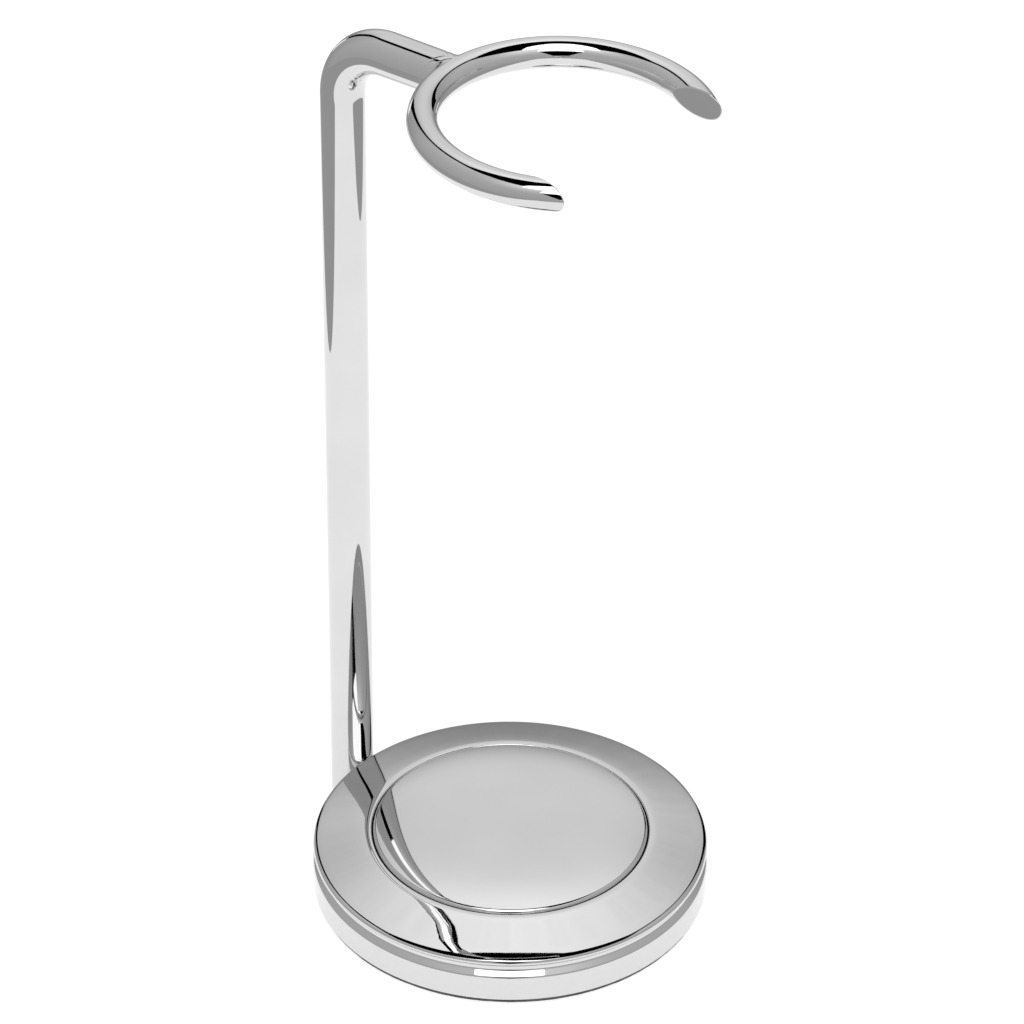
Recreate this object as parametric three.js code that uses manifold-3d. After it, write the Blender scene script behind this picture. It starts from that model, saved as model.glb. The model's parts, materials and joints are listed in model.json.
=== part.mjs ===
// Chrome stand for a shaving brush. The brush hangs upside down by its neck in an open ring,
// which a bent post holds over a weighted round base.
//
// Millimetres, +Z up. The origin is the centre of the foot pad, on the surface that the stand
// rests on. The post stands behind the base, on +Y, and the ring's mouth opens towards -Y.

import * as THREE from 'three';
import { mergeVertices } from 'three/addons/utils/BufferGeometryUtils.js';
import Module from 'manifold-3d';

const wasm = await Module();
wasm.setup();

// ---------------------------------------------------------------- driving dimensions

const ROUND_SIDES = 60; // sides of the base, its disc, weight, plate and pad
const BAR_SIDES = 20; // sides of the post and the ring's bar
const SMALL_SIDES = 16; // sides of screws, pins and their holes
const WASHER_SIDES = 32; // sides of the ballast's washers and of its pocket
const CLEARANCE = 0.1; // between a shaped seat and the bar that sits in it
const HOLE_CLEARANCE = 0.2; // between a shank and its hole
const HOLE_SPARE = 0.3; // depth of a blind hole past the end of its shank
const OVERLAP = 0.5; // how far joined shapes run into each other, and cuts run past a face

// Base shell: a hollow casting, open below
const METAL_BOTTOM = 0.8; // the wall ends above the surface, and only the pad touches it
const FOOT_LEAN = 0.05; // how much narrower the base is at its foot
const FOOT_ROUNDING = 0.25;
const RIM_START = [29.26, 8.32]; // radius and height where the collar rolls over into the rim
// Each stretch of the rim, from the collar down: length, and its tilt from level in degrees.
const RIM_STRETCHES = [
  [0.15, 16],
  [0.55, 21.5],
  [0.38, 56], // crisp lip
  [0.15, 79],
  [0.4, 115], // its underside
  [0.75, 140],
  [0.35, 115],
  [0.3, 88], // neck
  [0.4, 66],
  [0.85, 45], // ledge
  [0.45, 66],
];
// Each stretch of the collar, from the rim up to the seam: length and slope in degrees.
const COLLAR_STRETCHES = [
  [1.45, 14.8],
  [3, 13.9],
  [2.6, 12.5],
  [0.8, 6], // rounds over into the seam
  [0.3, -8],
  [0.3, -50],
];
const SEAM_RADIUS = 21.15; // wall of the recess that holds the disc
const RECESS_FLOOR = 8.8;
const CEILING = 7.0; // underside of the shell's web
const INNER_RADIUS = 27.7;
const INNER_ROUNDING = 0.5;

// Centre disc with its threaded stud
const DISC_RADIUS = 21;
const DISC_EDGE_Z = 9.75; // where the disc's side starts to round over
const DISC_EDGE_ROUNDING = 0.7;
// Each stretch of the dome from the edge to the middle: share of the way there, and slope in degrees.
const DOME_STRETCHES = [
  [0.08, 11],
  [0.12, 8],
  [0.2, 5],
  [0.3, 3.2],
  [0.3, 1],
];
const STUD_RADIUS = 2;
const STUD_END = 2.6;

// Ballast weight and what clamps it up against the web
const BALLAST_RADIUS = 26.5;
const BALLAST_BOTTOM = 2.7;
const BALLAST_POCKET_RADIUS = 5.2;
const BALLAST_POCKET_TOP = 5.9;
const NOTCH_CLEARANCE = 0.5; // round the boss and the head of the post's screw
const FLAT_WASHER_RADIUS = 4.5;
const LOCK_WASHER_RADIUS = 3.8;
const WASHER_THICKNESS = 0.5;
const WASHER_SPLIT = 0.7;
const NUT_ACROSS_FLATS = 7;
const NUT_HEIGHT = 2.2;

// Bottom plate, its three screws and the foot pad
const PLATE_RADIUS = 27.4;
const PLATE_BOTTOM = 0.8;
const PLATE_TOP = 1.8;
const PILLAR_COUNT = 3;
const PILLAR_CIRCLE = 22.5;
const PILLAR_RADIUS = 2.6;
const PILLAR_HOLE_RADIUS = 3; // of the holes that pass the pillars through the weight
const PLATE_SCREW_RADIUS = 1.25;
const PLATE_SCREW_HEAD = 2.2;
const PLATE_SCREW_HEAD_DEPTH = 0.8;
const PLATE_SCREW_END = 6.4;
const RECESS_LENGTH = 2.64; // arms of the cross recess in a screw head
const RECESS_WIDTH = 0.6;
const RECESS_DEPTH = 0.45;
const PAD_RADIUS = 29.9;
const PAD_EDGE = 0.2;

// Post: one bar with a bend of a little under a quarter turn and a short arm
const POST_Y = 33.07;
const POST_RADIUS = 3.34;
const POST_BOTTOM = 1;
const BEND_RADIUS = 9.94;
const BEND_STEPS = 12;
const ARM_TILT = 4; // degrees that the arm climbs towards the ring
const ARM_REFERENCE = [20, 136.43]; // y and height of a point on the arm's centre line
const ARM_END_Y = 12.2;

// Ring: round bar, level, a little longer than wide, with its mouth cut out of the front
const RING_Y = -9.42;
const RING_Z = 138.14;
const RING_HALF_WIDTH = 19.36; // to the middle of the bar
const RING_HALF_LENGTH = 20.18;
const RING_BAR_RADIUS = 2.28;
const RING_STEPS = 48;
const MOUTH_HALF_WIDTH = 16.35;
const MOUTH_FLARE = 3; // degrees that each cut turns out towards the front
const MOUTH_REACH = 14; // how far that cut runs to the front and to the back of the ring's ends
const MOUTH_CUT_HEIGHT = 9; // of the block that cuts the mouth, past the bar above and below

// Fasteners between post and base, and between arm and ring
const BOSS_HALF_WIDTH = 4;
const BOSS_FACE_Y = 26.4;
const BOSS_END_Y = 28.8; // inside the wall
const POST_SCREW_Z = 4.7;
const POST_SCREW_RADIUS = 1.25;
const POST_SCREW_HEAD = 2.1;
const POST_SCREW_HEAD_HEIGHT = 1.8;
const SLOT_DEPTH = 0.9; // of the slot in that screw's head, as wide as the cross recesses
const POST_SCREW_END_Y = 34.4;
const POST_WASHER_THICKNESS = 0.5;
const POST_WASHER_SPLIT = 0.5;
const PIN_Z = 2;
const PIN_RADIUS = 0.6;
const PIN_START_Y = 28.3;
const PIN_END_Y = 32.2;
const RING_STUD_Z = 137.7;
const RING_STUD_RADIUS = 1.1;
const RING_STUD_START_Y = 10;
const RING_STUD_END_Y = 18;

// ---------------------------------------------------------------- helpers

const radians = THREE.MathUtils.degToRad;

// A closed geometry as a solid that can be joined and cut.
function solid(geometry) {
  const bare = geometry.clone();
  bare.deleteAttribute('normal');
  bare.deleteAttribute('uv');
  const merged = mergeVertices(bare, 1e-4);
  const mesh = new wasm.Mesh({
    numProp: 3,
    vertProperties: new Float32Array(merged.attributes.position.array),
    triVerts: new Uint32Array(merged.index.array),
  });
  return new wasm.Manifold(mesh);
}

// The geometry of a joined or cut solid, with flat faces.
function geometryOf(manifold) {
  const mesh = manifold.getMesh();
  const geometry = new THREE.BufferGeometry();
  geometry.setAttribute('position', new THREE.BufferAttribute(mesh.vertProperties, 3));
  geometry.setIndex(new THREE.BufferAttribute(mesh.triVerts, 1));
  const flat = geometry.toNonIndexed();
  flat.computeVertexNormals();
  return flat;
}

// Turns a profile of (radius, z) points about the Z axis.
function turned(profile, sides) {
  return new THREE.LatheGeometry(profile, sides).rotateX(Math.PI / 2);
}

// Points of an arc, from one direction to another, both in degrees up from straight outwards.
function arc(centre, radius, from, to, steps) {
  const points = [];
  for (let i = 0; i <= steps; i += 1) {
    const angle = radians(from + ((to - from) * i) / steps);
    const offset = new THREE.Vector2(Math.cos(angle), Math.sin(angle)).multiplyScalar(radius);
    points.push(offset.add(centre));
  }
  return points;
}

// Upright round bar.
function uprightBar(radius, bottom, top, sides, x = 0, y = 0) {
  return new THREE.CylinderGeometry(radius, radius, top - bottom, sides)
    .rotateX(Math.PI / 2)
    .translate(x, y, (bottom + top) / 2);
}

// Round bar that lies along Y.
function levelBar(radius, startY, endY, z, sides) {
  const bar = new THREE.CylinderGeometry(radius, radius, endY - startY, sides);
  return bar.translate(0, (startY + endY) / 2, z);
}

// Block between two corners.
function block(low, high) {
  const [x, y, z] = low.map((value, i) => high[i] - value);
  const middle = low.map((value, i) => (value + high[i]) / 2);
  return new THREE.BoxGeometry(x, y, z).translate(...middle);
}

// Flat ring, upright axis.
function flatRing(inner, outer, bottom, top, sides) {
  const corners = [[inner, bottom], [outer, bottom], [outer, top], [inner, top], [inner, bottom]];
  return turned(corners.map(([r, z]) => new THREE.Vector2(r, z)), sides);
}

// Where the bottom plate's screws and the pillars that take them stand.
function pillarPlaces() {
  const places = [];
  for (let i = 0; i < PILLAR_COUNT; i += 1) {
    const angle = -Math.PI / 2 + (i * 2 * Math.PI) / PILLAR_COUNT;
    places.push([PILLAR_CIRCLE * Math.cos(angle), PILLAR_CIRCLE * Math.sin(angle)]);
  }
  return places;
}

// Clearance holes for the post's screw and dowel, and for the ring's stud.
function screwHole(startY, endY) {
  return levelBar(POST_SCREW_RADIUS + HOLE_CLEARANCE, startY, endY, POST_SCREW_Z, SMALL_SIDES);
}

function pinHole(startY, endY) {
  return levelBar(PIN_RADIUS + HOLE_CLEARANCE, startY, endY, PIN_Z, SMALL_SIDES);
}

function studHole(startY, endY) {
  return levelBar(RING_STUD_RADIUS + HOLE_CLEARANCE, startY, endY, RING_STUD_Z, SMALL_SIDES);
}

// Centre line of the ring, an ellipse that starts at the mouth.
class RingPath extends THREE.Curve {
  getUtoTmapping(u) {
    return u;
  }

  getPoint(t) {
    const angle = 2 * Math.PI * t;
    const x = RING_HALF_WIDTH * Math.sin(angle);
    return new THREE.Vector3(x, RING_Y - RING_HALF_LENGTH * Math.cos(angle), RING_Z);
  }
}

// Full oval of the ring's bar, or of the seat that is cut for it.
function ringOval(barRadius) {
  return new THREE.TubeGeometry(new RingPath(), RING_STEPS, barRadius, BAR_SIDES, true);
}

// ---------------------------------------------------------------- base

// Points from a start, one after each stretch. A stretch is a length and its tilt from level.
function stretches(start, list) {
  const points = [start];
  list.forEach(([length, tilt]) => {
    const step = new THREE.Vector2(Math.cos(radians(tilt)), -Math.sin(radians(tilt)));
    points.push(step.multiplyScalar(length).add(points[points.length - 1]));
  });
  return points;
}

// Outside of the shell from the foot to the seam: wall, ledge, neck, rounded rim and domed collar.
function shellOutside() {
  const start = new THREE.Vector2(...RIM_START);
  const side = stretches(start, RIM_STRETCHES).reverse();
  const footRadius = side[0].x - FOOT_LEAN;
  const foot = new THREE.Vector2(footRadius - FOOT_ROUNDING, METAL_BOTTOM + FOOT_ROUNDING);
  const collar = stretches(start, COLLAR_STRETCHES.map(([length, slope]) => [length, slope + 180]));
  return [...arc(foot, FOOT_ROUNDING, -90, 0, 2), ...side, ...collar.slice(1)];
}

// Inside of the shell: recess, web with its centre hole, and the hollow below.
function shellInside() {
  const corner = new THREE.Vector2(INNER_RADIUS - INNER_ROUNDING, CEILING - INNER_ROUNDING);
  return [
    new THREE.Vector2(SEAM_RADIUS, RECESS_FLOOR),
    new THREE.Vector2(STUD_RADIUS + HOLE_CLEARANCE, RECESS_FLOOR),
    new THREE.Vector2(STUD_RADIUS + HOLE_CLEARANCE, CEILING),
    ...arc(corner, INNER_ROUNDING, 90, 0, 2),
    new THREE.Vector2(INNER_RADIUS, METAL_BOTTOM),
  ];
}

function baseShell() {
  const outside = shellOutside();
  let shell = solid(turned([...outside, ...shellInside(), outside[0]], ROUND_SIDES));
  const bossLow = [-BOSS_HALF_WIDTH, BOSS_FACE_Y, PLATE_TOP];
  shell = shell.add(solid(block(bossLow, [BOSS_HALF_WIDTH, BOSS_END_Y, CEILING + OVERLAP])));
  for (const [x, y] of pillarPlaces()) {
    shell = shell.add(solid(uprightBar(PILLAR_RADIUS, PLATE_TOP, CEILING + OVERLAP, SMALL_SIDES, x, y)));
    const holeRadius = PLATE_SCREW_RADIUS + HOLE_CLEARANCE;
    const holeTop = PLATE_SCREW_END + HOLE_SPARE;
    const hole = uprightBar(holeRadius, PLATE_TOP - OVERLAP, holeTop, SMALL_SIDES, x, y);
    shell = shell.subtract(solid(hole));
  }
  const seat = uprightBar(POST_RADIUS + CLEARANCE, 0, RIM_START[1] + OVERLAP, BAR_SIDES, 0, POST_Y);
  shell = shell.subtract(solid(seat));
  shell = shell.subtract(solid(screwHole(BOSS_FACE_Y - OVERLAP, POST_Y)));
  return geometryOf(shell.subtract(solid(pinHole(PIN_START_Y - CLEARANCE, POST_Y))));
}

// Low domed disc with its stud, seated in the shell's recess.
function centreDisc() {
  const roundingCentre = new THREE.Vector2(DISC_RADIUS - DISC_EDGE_ROUNDING, DISC_EDGE_Z);
  const rounding = arc(roundingCentre, DISC_EDGE_ROUNDING, 0, 90 - DOME_STRETCHES[0][1], 3);
  const edge = rounding[rounding.length - 1];
  const inwards = DOME_STRETCHES.map(([share, slope]) => {
    return [(share * edge.x) / Math.cos(radians(slope)), slope + 180];
  });
  const dome = stretches(edge, inwards);
  const top = new THREE.Vector2(0, dome[dome.length - 1].y);
  return turned([
    new THREE.Vector2(0, STUD_END),
    new THREE.Vector2(STUD_RADIUS, STUD_END),
    new THREE.Vector2(STUD_RADIUS, RECESS_FLOOR),
    new THREE.Vector2(DISC_RADIUS, RECESS_FLOOR),
    ...rounding,
    ...dome.slice(1, -1),
    top,
  ], ROUND_SIDES);
}

// ---------------------------------------------------------------- ballast and its clamp

// Round weight with holes for the pillars, a pocket for the nut and a notch for the post's screw.
function ballastWeight() {
  const inner = STUD_RADIUS + HOLE_CLEARANCE;
  let weight = solid(flatRing(inner, BALLAST_RADIUS, BALLAST_BOTTOM, CEILING, ROUND_SIDES));
  const pocket = uprightBar(BALLAST_POCKET_RADIUS, 0, BALLAST_POCKET_TOP, WASHER_SIDES);
  weight = weight.subtract(solid(pocket));
  for (const [x, y] of pillarPlaces()) {
    const hole = uprightBar(PILLAR_HOLE_RADIUS, 0, CEILING + OVERLAP, SMALL_SIDES, x, y);
    weight = weight.subtract(solid(hole));
  }
  const notchStart = BOSS_FACE_Y - POST_SCREW_HEAD_HEIGHT - POST_WASHER_THICKNESS - NOTCH_CLEARANCE;
  const notchHalf = BOSS_HALF_WIDTH + NOTCH_CLEARANCE;
  const notch = block([-notchHalf, notchStart, 0], [notchHalf, BOSS_END_Y, CEILING + OVERLAP]);
  return geometryOf(weight.subtract(solid(notch)));
}

function flatWasher() {
  const top = BALLAST_POCKET_TOP;
  const inner = STUD_RADIUS + HOLE_CLEARANCE;
  return flatRing(inner, FLAT_WASHER_RADIUS, top - WASHER_THICKNESS, top, WASHER_SIDES);
}

// Split spring washer. Its gap faces the front.
function lockWasher() {
  const top = BALLAST_POCKET_TOP - WASHER_THICKNESS;
  const inner = STUD_RADIUS + HOLE_CLEARANCE;
  const washer = flatRing(inner, LOCK_WASHER_RADIUS, top - WASHER_THICKNESS, top, WASHER_SIDES);
  const split = block([-WASHER_SPLIT / 2, -BALLAST_POCKET_RADIUS, 0], [WASHER_SPLIT / 2, 0, CEILING]);
  return geometryOf(solid(washer).subtract(solid(split)));
}

// Thin hexagon nut on the disc's stud.
function clampNut() {
  const cornerRadius = NUT_ACROSS_FLATS / Math.sqrt(3);
  const outline = new THREE.Shape();
  for (let i = 0; i < 6; i += 1) {
    const angle = (i * Math.PI) / 3;
    const point = [cornerRadius * Math.cos(angle), cornerRadius * Math.sin(angle)];
    if (i === 0) outline.moveTo(...point);
    else outline.lineTo(...point);
  }
  const hole = new THREE.Path();
  hole.absarc(0, 0, STUD_RADIUS + HOLE_CLEARANCE, 0, 2 * Math.PI, true);
  outline.holes.push(hole);
  const nut = new THREE.ExtrudeGeometry(outline, {
    depth: NUT_HEIGHT,
    bevelEnabled: false,
    curveSegments: SMALL_SIDES,
  });
  return nut.translate(0, 0, BALLAST_POCKET_TOP - 2 * WASHER_THICKNESS - NUT_HEIGHT);
}

// ---------------------------------------------------------------- underside

// Countersunk screw that points up, or, made a little bigger, the hole for it.
function countersunk(extra, top, x, y) {
  const profile = [
    [0, PLATE_BOTTOM],
    [PLATE_SCREW_HEAD + extra, PLATE_BOTTOM],
    [PLATE_SCREW_RADIUS + extra, PLATE_BOTTOM + PLATE_SCREW_HEAD_DEPTH],
    [PLATE_SCREW_RADIUS + extra, top],
    [0, top],
  ];
  return turned(profile.map(([r, z]) => new THREE.Vector2(r, z)), SMALL_SIDES).translate(x, y, 0);
}

function bottomPlate() {
  let plate = solid(uprightBar(PLATE_RADIUS, PLATE_BOTTOM, PLATE_TOP, ROUND_SIDES));
  for (const [x, y] of pillarPlaces()) {
    plate = plate.subtract(solid(countersunk(HOLE_CLEARANCE, PLATE_TOP + OVERLAP, x, y)));
  }
  return geometryOf(plate);
}

function plateScrew([x, y]) {
  const screw = solid(countersunk(0, PLATE_SCREW_END, x, y));
  const long = RECESS_LENGTH / 2;
  const half = RECESS_WIDTH / 2;
  const low = PLATE_BOTTOM - OVERLAP;
  const high = PLATE_BOTTOM + RECESS_DEPTH;
  const across = block([x - long, y - half, low], [x + long, y + half, high]);
  const along = block([x - half, y - long, low], [x + half, y + long, high]);
  return geometryOf(screw.subtract(solid(across).add(solid(along))));
}

// Felt disc, glued under the plate. Its lower edge is softened.
function footPad() {
  const profile = [
    [0, 0],
    [PAD_RADIUS - PAD_EDGE, 0],
    [PAD_RADIUS, PAD_EDGE],
    [PAD_RADIUS, PLATE_BOTTOM],
    [0, PLATE_BOTTOM],
  ];
  return turned(profile.map(([r, z]) => new THREE.Vector2(r, z)), ROUND_SIDES);
}

// ---------------------------------------------------------------- post

// Centre line of the post and its arm. Its parameter counts steps, not length: one step for
// each straight stretch, and the others for the bend.
class BarPath extends THREE.Curve {
  getUtoTmapping(u) {
    return u;
  }

  turn(t) {
    const step = t * (BEND_STEPS + 2) - 1;
    return THREE.MathUtils.clamp(step / BEND_STEPS, 0, 1) * radians(90 - ARM_TILT);
  }

  armPoint(y) {
    const [referenceY, referenceZ] = ARM_REFERENCE;
    return new THREE.Vector3(0, y, referenceZ + (referenceY - y) * Math.tan(radians(ARM_TILT)));
  }

  getPoint(t) {
    if (t <= 0) return new THREE.Vector3(0, POST_Y, POST_BOTTOM);
    if (t >= 1) return this.armPoint(ARM_END_Y);
    const angle = this.turn(t);
    const last = this.turn(1);
    const bendEnd = this.armPoint(POST_Y - BEND_RADIUS * (1 - Math.cos(last)));
    const y = POST_Y - BEND_RADIUS * (1 - Math.cos(angle));
    const z = bendEnd.z - BEND_RADIUS * (Math.sin(last) - Math.sin(angle));
    return new THREE.Vector3(0, y, z);
  }

  getTangent(t) {
    const angle = this.turn(t);
    return new THREE.Vector3(0, -Math.sin(angle), Math.cos(angle));
  }
}

// The bar, with a saddle for the ring cut in the arm's end, and holes for its fasteners.
function post() {
  const section = new THREE.Shape().absarc(0, 0, POST_RADIUS, 0, 2 * Math.PI);
  const bar = new THREE.ExtrudeGeometry(section, {
    extrudePath: new BarPath(),
    steps: BEND_STEPS + 2,
    curveSegments: BAR_SIDES / 2,
    bevelEnabled: false,
  });
  return geometryOf(
    solid(bar)
      .subtract(solid(ringOval(RING_BAR_RADIUS + CLEARANCE)))
      .subtract(solid(screwHole(BOSS_FACE_Y, POST_SCREW_END_Y + HOLE_SPARE)))
      .subtract(solid(pinHole(BOSS_FACE_Y, PIN_END_Y + CLEARANCE)))
      .subtract(solid(studHole(RING_Y, RING_STUD_END_Y + HOLE_SPARE))),
  );
}

// Cheese-head screw from inside the base into the post's foot.
function postScrew() {
  const headStart = BOSS_FACE_Y - POST_WASHER_THICKNESS - POST_SCREW_HEAD_HEIGHT;
  const headEnd = BOSS_FACE_Y - POST_WASHER_THICKNESS;
  const head = solid(levelBar(POST_SCREW_HEAD, headStart, headEnd, POST_SCREW_Z, SMALL_SIDES));
  const shankStart = headEnd - OVERLAP;
  const shank = levelBar(POST_SCREW_RADIUS, shankStart, POST_SCREW_END_Y, POST_SCREW_Z, SMALL_SIDES);
  const slotHalf = POST_SCREW_HEAD + OVERLAP;
  const slotLow = [-slotHalf, headStart - OVERLAP, POST_SCREW_Z - RECESS_WIDTH / 2];
  const slotHigh = [slotHalf, headStart + SLOT_DEPTH, POST_SCREW_Z + RECESS_WIDTH / 2];
  return geometryOf(head.add(solid(shank)).subtract(solid(block(slotLow, slotHigh))));
}

// Split washer under the head of that screw. Its gap is at the top.
function postLockWasher() {
  const start = BOSS_FACE_Y - POST_WASHER_THICKNESS;
  const disc = solid(levelBar(POST_SCREW_HEAD, start, BOSS_FACE_Y, POST_SCREW_Z, SMALL_SIDES));
  const half = POST_WASHER_SPLIT / 2;
  const split = block([-half, start - OVERLAP, POST_SCREW_Z], [half, BOSS_FACE_Y + OVERLAP, CEILING]);
  const hole = screwHole(start - OVERLAP, BOSS_FACE_Y + OVERLAP);
  return geometryOf(disc.subtract(solid(hole)).subtract(solid(split)));
}

// Dowel below the screw. It stops the post from turning on the wall.
function postLocatingPin() {
  return levelBar(PIN_RADIUS, PIN_START_Y, PIN_END_Y, PIN_Z, SMALL_SIDES);
}

// ---------------------------------------------------------------- ring

// Round bar bent into a ring. The cut takes out the mouth and flares towards the front.
function ring() {
  const cutY = RING_Y - RING_HALF_LENGTH * Math.sqrt(1 - (MOUTH_HALF_WIDTH / RING_HALF_WIDTH) ** 2);
  const flare = MOUTH_REACH * Math.tan(radians(MOUTH_FLARE));
  const outline = new THREE.Shape([
    new THREE.Vector2(-MOUTH_HALF_WIDTH - flare, cutY - MOUTH_REACH),
    new THREE.Vector2(MOUTH_HALF_WIDTH + flare, cutY - MOUTH_REACH),
    new THREE.Vector2(MOUTH_HALF_WIDTH - flare, cutY + MOUTH_REACH),
    new THREE.Vector2(-MOUTH_HALF_WIDTH + flare, cutY + MOUTH_REACH),
  ]);
  const mouth = new THREE.ExtrudeGeometry(outline, { depth: MOUTH_CUT_HEIGHT, bevelEnabled: false });
  mouth.translate(0, 0, RING_Z - MOUTH_CUT_HEIGHT / 2);
  const open = solid(ringOval(RING_BAR_RADIUS)).subtract(solid(mouth));
  return geometryOf(open.subtract(solid(studHole(RING_STUD_START_Y - HOLE_SPARE, POST_Y))));
}

// Threaded stud, hidden inside the arm and the ring's bar.
function ringStud() {
  return levelBar(RING_STUD_RADIUS, RING_STUD_START_Y, RING_STUD_END_Y, RING_STUD_Z, SMALL_SIDES);
}

// ---------------------------------------------------------------- assembly

const finishes = {
  chrome: { color: 0xd6d7d9, roughness: 0.05, metalness: 1 },
  castIron: { color: 0x4a4a4c, roughness: 0.75, metalness: 0.6 },
  zincPlated: { color: 0xb4b6b8, roughness: 0.35, metalness: 1 },
  sheetSteel: { color: 0x9a9ca0, roughness: 0.45, metalness: 1 },
  felt: { color: 0x1c1c1e, roughness: 0.95, metalness: 0 },
};

function piece(name, geometry, finish) {
  const mesh = new THREE.Mesh(geometry, new THREE.MeshStandardMaterial(finishes[finish]));
  mesh.name = name;
  return mesh;
}

function baseAssembly() {
  const base = new THREE.Group();
  base.add(piece('base_shell', baseShell(), 'chrome'));
  base.add(piece('centre_disc', centreDisc(), 'chrome'));
  base.add(piece('ballast_weight', ballastWeight(), 'castIron'));
  base.add(piece('ballast_flat_washer', flatWasher(), 'zincPlated'));
  base.add(piece('ballast_lock_washer', lockWasher(), 'zincPlated'));
  base.add(piece('ballast_nut', clampNut(), 'zincPlated'));
  base.add(piece('bottom_plate', bottomPlate(), 'sheetSteel'));
  pillarPlaces().forEach((place, i) => {
    base.add(piece(`bottom_plate_screw_${i + 1}`, plateScrew(place), 'zincPlated'));
  });
  base.add(piece('foot_pad', footPad(), 'felt'));
  return base;
}

function postAssembly() {
  const upright = new THREE.Group();
  upright.add(piece('post', post(), 'chrome'));
  upright.add(piece('post_screw', postScrew(), 'zincPlated'));
  upright.add(piece('post_lock_washer', postLockWasher(), 'zincPlated'));
  upright.add(piece('post_locating_pin', postLocatingPin(), 'zincPlated'));
  return upright;
}

function ringAssembly() {
  const holder = new THREE.Group();
  holder.add(piece('ring', ring(), 'chrome'));
  holder.add(piece('ring_stud', ringStud(), 'zincPlated'));
  return holder;
}

const stand = new THREE.Group();
stand.add(baseAssembly(), postAssembly(), ringAssembly());

export default stand;
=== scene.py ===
"""Looks for the chrome shaving-brush stand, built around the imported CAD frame.

The four chrome pieces and the felt pad are rebuilt as fine meshes that follow the CAD solids.
The hidden pieces keep their CAD shape and get their own materials. Metres, +Z up.
"""
import json
import math

import bpy
import numpy as np
from mathutils import Matrix, Vector


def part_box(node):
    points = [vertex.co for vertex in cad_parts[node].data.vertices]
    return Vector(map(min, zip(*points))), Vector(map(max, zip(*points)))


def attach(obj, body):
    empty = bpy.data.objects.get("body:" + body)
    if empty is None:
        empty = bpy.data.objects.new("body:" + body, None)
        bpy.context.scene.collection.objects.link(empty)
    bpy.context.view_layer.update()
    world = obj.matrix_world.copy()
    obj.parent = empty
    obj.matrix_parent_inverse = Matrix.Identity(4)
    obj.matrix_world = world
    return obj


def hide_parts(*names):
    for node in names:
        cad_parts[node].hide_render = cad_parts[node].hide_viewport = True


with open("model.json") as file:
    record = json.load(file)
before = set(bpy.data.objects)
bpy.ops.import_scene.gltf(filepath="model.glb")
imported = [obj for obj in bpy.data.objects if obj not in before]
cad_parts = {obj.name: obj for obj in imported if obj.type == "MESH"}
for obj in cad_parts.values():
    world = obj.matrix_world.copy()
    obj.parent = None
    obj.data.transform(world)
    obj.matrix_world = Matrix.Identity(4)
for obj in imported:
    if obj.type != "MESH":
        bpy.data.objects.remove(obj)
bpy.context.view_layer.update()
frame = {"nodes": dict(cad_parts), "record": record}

MM = 0.001

# ------------------------------------------------------------------ sizes from the frame

SHELL_LOW, SHELL_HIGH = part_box("base_shell")
DISC_LOW, DISC_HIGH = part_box("centre_disc")
POST_LOW, POST_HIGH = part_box("post")
RING_LOW, RING_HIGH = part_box("ring")
PAD_LOW, PAD_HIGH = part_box("foot_pad")
WEIGHT_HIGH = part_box("ballast_weight")[1]

BASE_RADIUS = SHELL_HIGH.x
DISC_RADIUS = DISC_HIGH.x
PAD_RADIUS = PAD_HIGH.x

POST_RADIUS = POST_HIGH.x
POST_Y = POST_HIGH.y - POST_RADIUS
ARM_END_Y = 12.2 * MM

RING_BAR = (RING_HIGH.z - RING_LOW.z) / 2
RING_HALF_WIDTH = RING_HIGH.x - RING_BAR
RING_HALF_LENGTH = 20.18 * MM  # the ring is a little longer than wide
RING_Y = RING_HIGH.y - RING_HALF_LENGTH - RING_BAR
RING_Z = (RING_HIGH.z + RING_LOW.z) / 2

ARM_TILT = 4  # degrees that the arm climbs towards the ring
ARM_Z = RING_Z - 1.71 * MM  # height of the arm's centre line at ARM_REFERENCE_Y
ARM_REFERENCE_Y = 20 * MM

# ------------------------------------------------------------------ shape details

AROUND = 384  # columns of the turned pieces
BAR_AROUND = 96  # columns of the bars

FOOT_LEAN = 0.05 * MM  # how much narrower the base is at its foot
FOOT_ROUNDING = 0.25 * MM
RIM_START_RADIUS = 29.26 * MM  # where the collar rolls over into the rim
RIM_START_Z = 8.32 * MM
# Each bend of the rim: length in mm, tilt from level at its two ends.
RIM_BENDS = [
    (0.15, 15.5, 16),
    (0.55, 16, 27),
    (0.08, 27, 52),  # crisp lip
    (0.30, 52, 68),
    (0.15, 68, 90),
    (0.40, 90, 140),  # its underside
    (0.75, 140, 140),
    (0.35, 140, 90),
    (0.30, 90, 86),  # neck
    (0.40, 86, 45),
    (0.85, 45, 45),  # ledge
    (0.45, 45, 88),
]
# Each bend of the collar, from the rim inwards.
COLLAR_BENDS = [
    (1.45, 195.5, 194.2),
    (3.0, 194.2, 193.6),
    (2.6, 193.6, 191.5),
    (0.8, 191.5, 180),  # rolls over into the seam
    (0.25, 180, 168),
    (0.35, 168, 90),
]
RECESS_FLOOR = 8.8 * MM
INNER_RADIUS = 27.7 * MM
INNER_ROUNDING = 0.5 * MM
STUD_HOLE = 2.2 * MM
STUD_RADIUS = 2 * MM
SEAT_REACH = 1 * MM  # how deep the wall is looked over for the seat that the post lies in

DISC_EDGE_Z = 9.75 * MM
DISC_EDGE_ROUNDING = 0.7 * MM
DISC_SLOPE = 4.5  # degrees at the edge from the even part of the dome
DISC_EDGE_SLOPE = 7.5  # and what the last few millimetres add
DISC_EDGE_POWER = 5

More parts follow.
